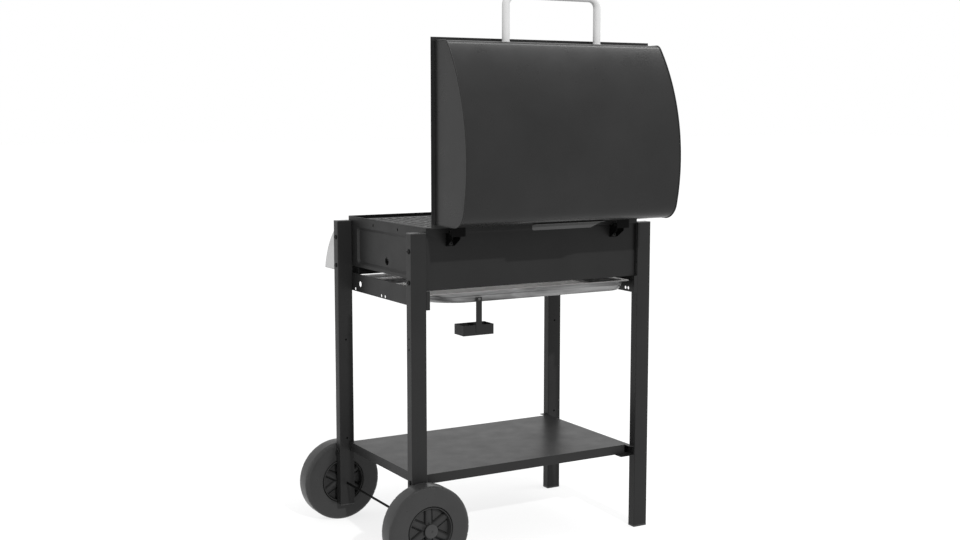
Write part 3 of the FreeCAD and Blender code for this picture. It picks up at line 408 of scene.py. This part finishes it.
def rounded_route(points, radius, closed=False, steps=6):
    """A route with an arc in place of each corner."""
    count = len(points)
    inner = range(count) if closed else range(1, count - 1)
    route = [] if closed else [points[0]]
    for index in inner:
        here = points[index]
        back = (points[index - 1] - here).normalized()
        ahead = (points[(index + 1) % count] - here).normalized()
        half = back.angle(ahead) / 2
        centre = here + (back + ahead).normalized() * (radius / math.sin(half))
        first = here + back * (radius / math.tan(half)) - centre
        last = here + ahead * (radius / math.tan(half)) - centre
        turn = first.angle(last)
        across = (last - first * math.cos(turn)) / math.sin(turn)
        for step in range(steps + 1):
            angle = turn * step / steps
            route.append(centre + first * math.cos(angle) + across * math.sin(angle))
    return route if closed else route + [points[-1]]


def sweep(work, route, radius, closed=False, sides=16):
    """A round bar along a route."""
    count = len(route)
    rings = []
    side = None
    for index, point in enumerate(route):
        before = route[index - 1] if index or closed else point
        after = route[(index + 1) % count] if index + 1 < count or closed else point
        along = (after - before).normalized()
        if side is None:
            side = basis(along)[0]
        side = (side - along * side.dot(along)).normalized()
        up = side.cross(along)
        angles = [2 * math.pi * step / sides for step in range(sides)]
        rings.append([point + (side * math.cos(a) + up * math.sin(a)) * radius for a in angles])
    add_rings(work, rings, closed)


def slab(work, outline, thickness):
    """A flat outline extruded by a vector."""
    add_rings(work, [outline, [point + thickness for point in outline]])


# ---------------------------------------------------------------- sheet and tube

SHEET_PARTS = (
    "front_panel rear_panel cross_panel_right cross_panel_left grate_rail_front grate_rail_rear "
    "charcoal_rail_front charcoal_rail_rear front_fascia fascia_end_right fascia_end_left "
    "shelf_end_bar shelf_bracket_front shelf_bracket_rear hinge_bracket_right hinge_bracket_left "
    "hinge_leaf_right hinge_leaf_left lid_shell lid_end_cap_right lid_end_cap_left lid_rear_tab "
    "drip_cup cup_strap axle_washers hinge_pins"
).split()
TUBE_PARTS = "leg_front_right leg_rear_right leg_front_left leg_rear_left".split()


def add_sheet_and_tube():
    """The folded and tubular parts, their edges rounded as far as their thickness allows."""
    for node in SHEET_PARTS:
        rounded_copy(node, 0.45 * MM)
    for node in TUBE_PARTS:
        rounded_copy(node, 0.6 * MM)
    for node in ("leg_top_caps", "foot_caps"):
        rounded_copy(node, 1.0 * MM)
    rounded_copy("lower_shelf", 0.55 * MM)


def add_end_panels():
    """The firebox ends: the wall of the pressed recess slopes, and its edges are drawn smooth."""
    drawn = 7 * MM
    for word, side in (("right", 1), ("left", -1)):
        node = f"end_panel_{word}"
        low, high = corners(node)
        inset, floor, ceiling = 45 * MM, low.z + 17 * MM, high.z - 20 * MM
        vent_place = Vector((middle(node).y, 712 * MM))
        vent_reach = 14 * MM
        work = whole_faces(node)

        def in_recess(vertex):
            """Whether a corner belongs to the pressing and not to the outline or a hole."""
            place = vertex.co
            wide = low.y + inset < place.y < high.y - inset
            vent = (Vector((place.y, place.z)) - vent_place).length < vent_reach
            return wide and floor < place.z < ceiling and not vent

        inner = [vertex for vertex in work.verts if in_recess(vertex)]
        outer = max(vertex.co.x * side for vertex in inner)
        centre = middle(node).y, (min(v.co.z for v in inner) + max(v.co.z for v in inner)) / 2
        for vertex in inner:
            if vertex.co.x * side < outer - 1.5 * MM:
                vertex.co.y -= math.copysign(drawn, vertex.co.y - centre[0])
                vertex.co.z -= math.copysign(drawn, vertex.co.z - centre[1])
        edges = [
            edge for edge in work.edges
            if all(in_recess(vertex) for vertex in edge.verts)
            and len(edge.link_faces) == 2
            and edge.calc_face_angle(0) > math.radians(25)
        ]
        bmesh.ops.bevel(work, geom=edges, offset=2.6 * MM, segments=5, profile=0.5, affect="EDGES",
                        clamp_overlap=True)
        finish(work, f"{node}_pressed", node, 0.4 * MM)


def add_rim_hem():
    """The rolled edge along the top of the firebox's four walls."""
    radius = 1.5 * MM
    low, high = corners("end_panel_left")[0], corners("end_panel_right")[1]
    level = high.z - radius
    left, right = low.x + 0.6 * MM, high.x - 0.6 * MM
    front, back = low.y + 0.6 * MM, high.y - 0.6 * MM
    ends = rectangle(left, front, right, back, level)
    work = bmesh.new()
    sweep(work, rounded_route(ends, 3 * MM, closed=True), radius, closed=True, sides=12)
    finish(work, "firebox_rim_hem", "end_panel_right", replace=False)


# ---------------------------------------------------------------- lid


def cap_outline(node, side):
    """The outline of a lid end cap's outer face, in order, without the straight run at its mouth."""
    work = whole_faces(node)
    outward = [face for face in work.faces if face.normal.x * side > 0.9]
    outer = max(outward, key=lambda face: face.calc_area())
    points = [vertex.co.copy() for vertex in outer.verts]
    work.free()
    mouth = min(point.y for point in points)
    gaps = [
        index for index, point in enumerate(points)
        if abs(point.y - mouth) < 2 * MM and abs(points[index - 1].y - mouth) < 2 * MM
    ]
    start = max(gaps, key=lambda index: (points[index] - points[index - 1]).length)
    return points[start:] + points[:start]


def add_lid_seams():
    """The rolled seam where each end cap meets the shell."""
    radius = 1.7 * MM
    for word, side in (("right", 1), ("left", -1)):
        node = f"lid_end_cap_{word}"
        inward = Vector((-0.5 * side * MM, 0, 0))
        work = bmesh.new()
        sweep(work, [point + inward for point in cap_outline(node, side)], radius, sides=10)
        finish(work, f"lid_seam_{word}", node, replace=False)


def add_handle():
    """A bent tube on the lid's front wall, with a weld bead round each foot."""
    low, high = corners("lid_handle")
    radius = (high.y - low.y) / 2
    centre = middle("lid_handle").y
    left, right, top = low.x + radius, high.x - radius, high.z - radius
    route = [
        Vector((left, centre, low.z)), Vector((left, centre, top)),
        Vector((right, centre, top)), Vector((right, centre, low.z)),
    ]
    work = bmesh.new()
    sweep(work, rounded_route(route, 24 * MM, steps=10), radius, sides=32)
    for x in (left, right):
        ring = [
            Vector((x + radius * math.cos(a), centre + radius * math.sin(a), low.z + 0.6 * MM))
            for a in (math.radians(15 * step) for step in range(24))
        ]
        sweep(work, ring, 1.3 * MM, closed=True, sides=8)
    finish(work, "lid_handle_tube", "lid_handle")


# ---------------------------------------------------------------- tray and grates


def round_ring(left, front, right, back, level, radius, left_radius, steps=10):
    """Points round a rectangle whose two ends have their own corner radius."""
    turns = (
        (right - radius, front + radius, radius, -90), (right - radius, back - radius, radius, 0),
        (left + left_radius, back - left_radius, left_radius, 90),
        (left + left_radius, front + left_radius, left_radius, 180),
    )
    points = []
    for x, y, bend, start in turns:
        for step in range(steps + 1):
            angle = math.radians(start + 90 * step / steps)
            points.append(Vector((x + bend * math.cos(angle), y + bend * math.sin(angle), level)))
    return points


def add_tray():
    """The tray for the ashes: a drawn pan with a fold round its wall, a rolled rim, a pull lip and a hook.
    """
    low, high = corners("ash_tray")
    floor, flange, thick = low.z, high.z - 3 * MM, 1.2 * MM
    side_rim, front_rim, rear_rim = 10 * MM, 32 * MM, 6 * MM
    left_share = 0.4

    def wall(level, side, front, rear, radius, left_radius, inset=0.0):
        """A ring stepped in from the pan's mouth; the left end slopes less than the right one."""
        return round_ring(
            low.x + side_rim + (side * left_share + inset) * MM, low.y + front_rim + (front + inset) * MM,
            high.x - side_rim - (side + inset) * MM, high.y - rear_rim - (rear + inset) * MM,
            level, (radius - inset) * MM, (left_radius - inset) * MM,
        )

    def rim(part, rise):
        """A ring between the rim's outer edge, at 0, and the pan's mouth, at 1."""
        return round_ring(
            low.x + side_rim * part, low.y + front_rim * part, high.x - side_rim * part,
            high.y - rear_rim * part, flange + rise * MM, (12 + 13 * part) * MM, (12 + 13 * part) * MM,
        )

    steps = [
        (floor + 20 * MM, 0.8, 2.2, 1.2, 36, 24.5), (floor + 16.5 * MM, 2.6, 6.0, 3.4, 50, 24),
        (floor + 15 * MM, 4.8, 8.6, 5.2, 56, 23), (floor + 13 * MM, 4.6, 8.4, 4.9, 60, 24),
        (floor + 11 * MM, 5.6, 9.2, 5.4, 66, 25), (floor + 5 * MM, 10, 10.4, 6.6, 80, 28),
        (floor + 1.4 * MM, 17, 11.8, 8.2, 90, 30), (floor, 22, 15, 12, 88, 32),
    ]
    inside = [wall(level + thick, *rest, inset=1.2) for level, *rest in reversed(steps)]
    crown = (
        (1.08, 0.4), (0.9, 1.8), (0.6, 2.7), (0.35, 3.0),
        (0.14, 2.6), (0.0, 1.4), (0.0, 0.1), (1.0, 0.0),
    )
    rolled = [rim(part, rise) for part, rise in crown]
    work = bmesh.new()
    add_rings(work, inside + rolled + [wall(*step) for step in steps])

    left, right, front = low.x + 30 * MM, high.x - 30 * MM, low.y
    bottom, top = flange - 10 * MM, flange + 0.4 * MM
    places = ((left, bottom), (right, bottom), (right, top), (left, top))
    pull = [Vector((x, front, z)) for x, z in places]
    slab(work, pull, Vector((0, thick, 0)))
    hem = Vector((0, 1.6 * MM, 0))
    sweep(work, [pull[0] + hem, pull[1] + hem], 1.6 * MM)
    add_tray_hook(work, floor + 6 * MM, thick)
    finish(work, "ash_tray_pan", "ash_tray", smooth_angle=50)


def add_tray_hook(work, base, thick):
    """The small hook on the pan's back wall that the cup's strap hangs on."""
    strap_low, strap_high = corners("cup_strap")
    inner, outer = strap_low.y - 3.4 * MM, strap_high.y + 2 * MM
    places = (
        (inner, base), (outer, base), (outer, base + 4.2 * MM), (outer - thick, base + 4.2 * MM),
        (outer - thick, base + 2 * MM), (inner, base + 2 * MM),
    )
    start = middle("cup_strap").x - 3.2 * MM
    slab(work, [Vector((start, y, z)) for y, z in places], Vector((6.4 * MM, 0, 0)))


def add_grate(node, pitch):
    """Round bars from front to back inside a round-bar frame, over two cross bars."""
    low, high = corners(node)
    radius = (high.z - low.z) / 2
    level = (low.z + high.z) / 2
    left, right = low.x + radius, high.x - radius
    front, back = low.y + radius, high.y - radius
    work = bmesh.new()
    ends = rectangle(left, front, right, back, level)
    sweep(work, rounded_route(ends, 8 * MM, closed=True), radius, closed=True, sides=12)
    count = round((right - left) / pitch)
    for index in range(1, count):
        x = left + (right - left) * index / count
        sweep(work, [Vector((x, front, level)), Vector((x, back, level))], radius * 0.94, sides=12)
    for part in (0.33, 0.67):
        y = front + (back - front) * part
        run = [Vector((left, y, low.z + radius * 0.8)), Vector((right, y, low.z + radius * 0.8))]
        sweep(work, run, radius * 0.7, sides=10)
    finish(work, f"{node}_bars", node)


# ---------------------------------------------------------------- wheels


def add_tyre(word):
    """The broad plastic rim: flat walls, rounded shoulders with small moulded nicks."""
    node = f"wheel_{word}_tyre"
    low, high = corners(node)
    radius, half = (high.z - low.z) / 2, (high.y - low.y) / 2
    inner = (corners(f"wheel_{word}_hub")[1].z - corners(f"wheel_{word}_hub")[0].z) / 2
    bend = 10.5 * MM
    shoulder = arc((half - bend, radius - bend), bend, 0, 90, 8)
    wall = [
        (half - 5 * MM, inner), (half - 2.0 * MM, inner + 0.2 * MM), (half - 0.6 * MM, inner + 1.2 * MM),
        (half, inner + 3 * MM),
    ]
    one = wall + shoulder
    profile = mirrored(one)
    nicked = set(range(len(wall) + 2, len(wall) + 7))
    nicked |= {len(profile) - 1 - index for index in nicked}
    work = bmesh.new()
    lathe(work, middle(node), (0, 1, 0), profile, 240, True, nicked, 8, 1.1 * MM)
    finish(work, f"{node}_moulding", node)


def add_spoke(work, centre, angle, side, base, peak, width, near, far):
    """One raised, round-backed spoke on one face of a hub."""
    outward = Vector((math.cos(angle), 0, math.sin(angle)))
    across = Vector((-math.sin(angle), 0, math.cos(angle)))
    lift = Vector((0, side, 0))
    turns = (math.pi * step / 14 for step in range(15))
    section = [(width / 2 * math.cos(a), base + (peak - base) * math.sin(a) ** 0.7) for a in turns]
    rings = []
    for reach in (near, far):
        rings.append([centre + outward * reach + across * x + lift * y for x, y in section])
    add_rings(work, rings)


def add_sector(work, centre, angle, side, base, peak, gap, tip, far):
    """One flat panel between two spokes; angle is the middle of the panel."""
    spare = math.asin(gap / far)
    first = angle - math.radians(30) + spare
    last = angle + math.radians(30) - spare
    steps = 12
    rim = [first + (last - first) * step / steps for step in range(steps + 1)]
    places = [(far * math.cos(a), far * math.sin(a)) for a in rim]
    places.append((tip * math.cos(angle), tip * math.sin(angle)))
    outline = [centre + Vector((x, side * base, z)) for x, z in places]
    slab(work, outline, Vector((0, side * (peak - base), 0)))


def add_hub(word):
    """The recessed disc: a boss, six spokes with panels between them, and a thin lip."""
    node = f"wheel_{word}_hub"
    low, high = corners(node)
    centre = middle(node)
    radius, half = (high.z - low.z) / 2, (high.y - low.y) / 2
    bore, boss = 6 * MM, 14.5 * MM
    sunk, panel, crest = 9.5 * MM, 13 * MM, 20 * MM
    one = [
        (half, bore), (half, boss - 1 * MM), (half - 1 * MM, boss), (sunk + 1.5 * MM, boss + 0.5 * MM),
        (sunk, boss + 2 * MM), (sunk, radius - 6 * MM), (sunk + 1.5 * MM, radius - 5 * MM),
        (half - 1.5 * MM, radius - 4.4 * MM), (half - 0.4 * MM, radius - 3.8 * MM), (half, radius - 3 * MM),
        (half - 0.4 * MM, radius - 2.1 * MM), (half - 1.5 * MM, radius - 1.5 * MM),
        (half - 6 * MM, radius - 1.2 * MM), (half - 6 * MM, radius),
    ]
    work = bmesh.new()
    lathe(work, centre, (0, 1, 0), mirrored(one), 120, True)
    for side in (1, -1):
        for index in range(6):
            angle = math.radians(89 + 60 * index)
            add_spoke(work, centre, angle, side, sunk - 1 * MM, crest, 19 * MM,
                      boss - 1 * MM, radius - 4.6 * MM)
            add_sector(work, centre, angle + math.radians(30), side, sunk - 1 * MM, panel, 11.2 * MM,
                       23.5 * MM, radius - 6 * MM)
    finish(work, f"{node}_moulding", node, 0.35 * MM, smooth_angle=40)


def add_axle():
    """The axle rod with chamfered ends, and its domed caps."""
    low, high = corners("axle")
    radius, half = (high.z - low.z) / 2, (high.y - low.y) / 2
    one = [(half, 0.05 * MM), (half, radius - 0.5 * MM), (half - 0.5 * MM, radius)]
    work = bmesh.new()
    lathe(work, middle("axle"), (0, 1, 0), mirrored(one), 32)
    finish(work, "axle_rod", "axle", smooth_angle=30)

    work = bmesh.new()
    centre = middle("axle")
    for low, high in islands("axle_caps"):
        side = 1 if low.y > centre.y else -1
        radius = (high.z - low.z) / 2
        near, far = sorted(abs(edge - centre.y) for edge in (low.y, high.y))
        edge = near + 0.9 * MM
        profile = [(near, 3.2 * MM), (near, radius - 0.5 * MM), (near + 0.4 * MM, radius)]
        turns = (math.radians(9 * step) for step in range(9))
        profile += [(edge + (far - edge) * math.sin(turn), radius * math.cos(turn)) for turn in turns]
        profile += [
            (far - 0.2 * MM, 3.6 * MM), (far - 0.5 * MM, 3.0 * MM), (far - 1.7 * MM, 2.4 * MM),
            (far - 2.0 * MM, 1.0 * MM), (far - 2.0 * MM, 0.1 * MM), (far - 3.4 * MM, 0.1 * MM),
            (far - 3.4 * MM, 3.2 * MM),
        ]
        lathe(work, centre, (0, side, 0), profile, 48, True)
    finish(work, "axle_caps_domed", "axle_caps", smooth_angle=50)


# ---------------------------------------------------------------- fasteners


def add_bolts(node, axis, outward):
    """Domed heads with a hexagon socket on every bolt of a node; outward tells which end is the head."""
    letter = "xyz".index(axis)
    direction = Vector([float(index == letter) for index in range(3)])
    tall, shank = 3.5 * MM, 3 * MM
    work = bmesh.new()
    for low, high in islands(node):
        centre = (low + high) / 2
        way = outward(centre)
        across = (letter + 1) % 3
        head = (high[across] - low[across]) / 2
        tip = high[letter] if way > 0 else low[letter]
        reach = high[letter] - low[letter] - tall
        origin = centre.copy()
        origin[letter] = tip - way * tall
        skirt = head * 0.18
        turns = [math.radians(18 * step) for step in range(6)]
        dome = [
            (skirt + (tall - skirt) * math.sin(turn), shank + (head - shank) * math.cos(turn))
            for turn in turns
        ]
        profile = [
            (-reach, 0.1 * MM), (-reach, shank - 0.3 * MM), (0.3 * MM - reach, shank), (0, shank),
            (0, head - 0.3 * MM), *dome, (3.3 * MM, 2.5 * MM), (1.4 * MM, 2.4 * MM), (1.2 * MM, 0.1 * MM),
        ]
        count = len(profile)
        lathe(work, origin, direction * way, profile, 36, hexed={count - 3, count - 2})
    finish(work, f"{node}_socket_heads", node, smooth_angle=40)


def add_fasteners():
    """All the bolts and screws, their heads facing away from what they clamp."""
    grill = middle("lower_shelf")
    add_bolts("body_bolts", "x", lambda place: 1 if place.x > grill.x else -1)
    add_bolts("shelf_bolts", "x", lambda place: 1 if place.x > grill.x else -1)
    add_bolts("hinge_screws", "y", lambda place: 1)
    add_bolts("handle_screws", "z", lambda place: -1)


def paint_cad_nodes():
    """Give every CAD node the material of its slot, whether or not a piece stands for it."""
    for node, item in frame["nodes"].items():
        for place in item.material_slots:
            place.material = MATERIALS[SLOT_OF[node]]


# ---------------------------------------------------------------- stage, lights and camera


def add_stage():
    """A pale floor that runs to the horizon."""
    reach = 40.0
    mesh = bpy.data.meshes.new("floor")
    places = [(x, y, 0) for x, y in ((-reach, -reach), (reach, -reach), (reach, reach), (-reach, reach))]
    mesh.from_pydata(places, [], [(0, 1, 2, 3)])
    floor = new_object("floor", mesh)
    surface = Nodes("floor_paper", grey(0.2), 0.95, 0.0, 0.0)
    surface.connect(surface.tint(surface.noise(3, 2), grey(0.19), grey(0.21)))
    surface.shader.inputs["Emission Color"].default_value = (1.0, 1.0, 1.0, 1.0)
    surface.shader.inputs["Emission Strength"].default_value = 0.78
    mesh.materials.append(surface.material)


def add_world():
    """Even white surroundings."""
    world = bpy.data.worlds.new("studio")
    world.use_nodes = True
    background = world.node_tree.nodes["Background"]
    background.inputs["Color"].default_value = (1.0, 1.0, 1.0, 1.0)
    background.inputs["Strength"].default_value = 1.0
    bpy.context.scene.world = world


def add_area(name, place, target, size, power):
    """A soft rectangular light aimed at a point, its longer side along X."""
    data = bpy.data.lights.new(name, "AREA")
    data.shape = "RECTANGLE"
    data.size, data.size_y = size
    data.energy = power
    light = new_object(name, data)
    away = (Vector(place) - Vector(target)).normalized()
    across = Vector((0, 1, 0)).cross(away).normalized()
    turned = Matrix((across, away.cross(across), away)).transposed()
    light.matrix_world = Matrix.Translation(place) @ turned.to_4x4()


def add_sun(name, height, azimuth, strength):
    """A weak directional light, kept out of reflections; the angles are in degrees."""
    data = bpy.data.lights.new(name, "SUN")
    data.energy = strength
    data.angle = math.radians(1.5)
    light = new_object(name, data)
    light.rotation_euler = (math.radians(90 - height), 0.0, math.radians(azimuth))
    light.visible_glossy = False


def add_camera():
    """The photograph's view: behind the wheel end, a little above the grate."""
    data = bpy.data.cameras.new("camera")
    data.lens = 50.1
    data.sensor_width = 36.0
    data.clip_end = 200.0
    camera = new_object("camera", data)
    legs = [middle(f"leg_{end}_{side}") for end in ("front", "rear") for side in ("right", "left")]
    centre = sum(legs, Vector()) / 4
    camera.location = (centre.x + 1.7361, centre.y + 2.9553, 1.0824)
    camera.rotation_euler = (math.radians(90 - 6.82), 0.0, math.radians(150.05))
    bpy.context.scene.camera = camera


def build_grill():
    """Every modelled piece, and the materials of the CAD nodes."""
    add_sheet_and_tube()
    add_end_panels()
    add_rim_hem()
    add_lid_seams()
    add_handle()
    add_tray()
    add_grate("cooking_grate_right", 24.1 * MM)
    add_grate("cooking_grate_left", 24.1 * MM)
    add_grate("charcoal_grate", 25.4 * MM)
    for wheel in ("front", "rear"):
        add_tyre(wheel)
        add_hub(wheel)
    add_axle()
    add_fasteners()
    paint_cad_nodes()


def build_studio():
    """The floor, the surroundings, the lights and the camera."""
    add_stage()
    add_world()
    add_area("strip_above", (-0.55, 0.1, 3.1), (0.3, 0.1, 1.2), (2.8, 0.7), 50)
    add_area("fill_end", (3.4, -0.9, 1.3), (0.3, -0.2, 0.6), (2.0, 2.0), 14)
    add_sun("low_sun", 32.5, 176, 3.0)
    add_camera()
    bpy.context.scene.view_settings.view_transform = "Standard"


build_grill()
build_studio()
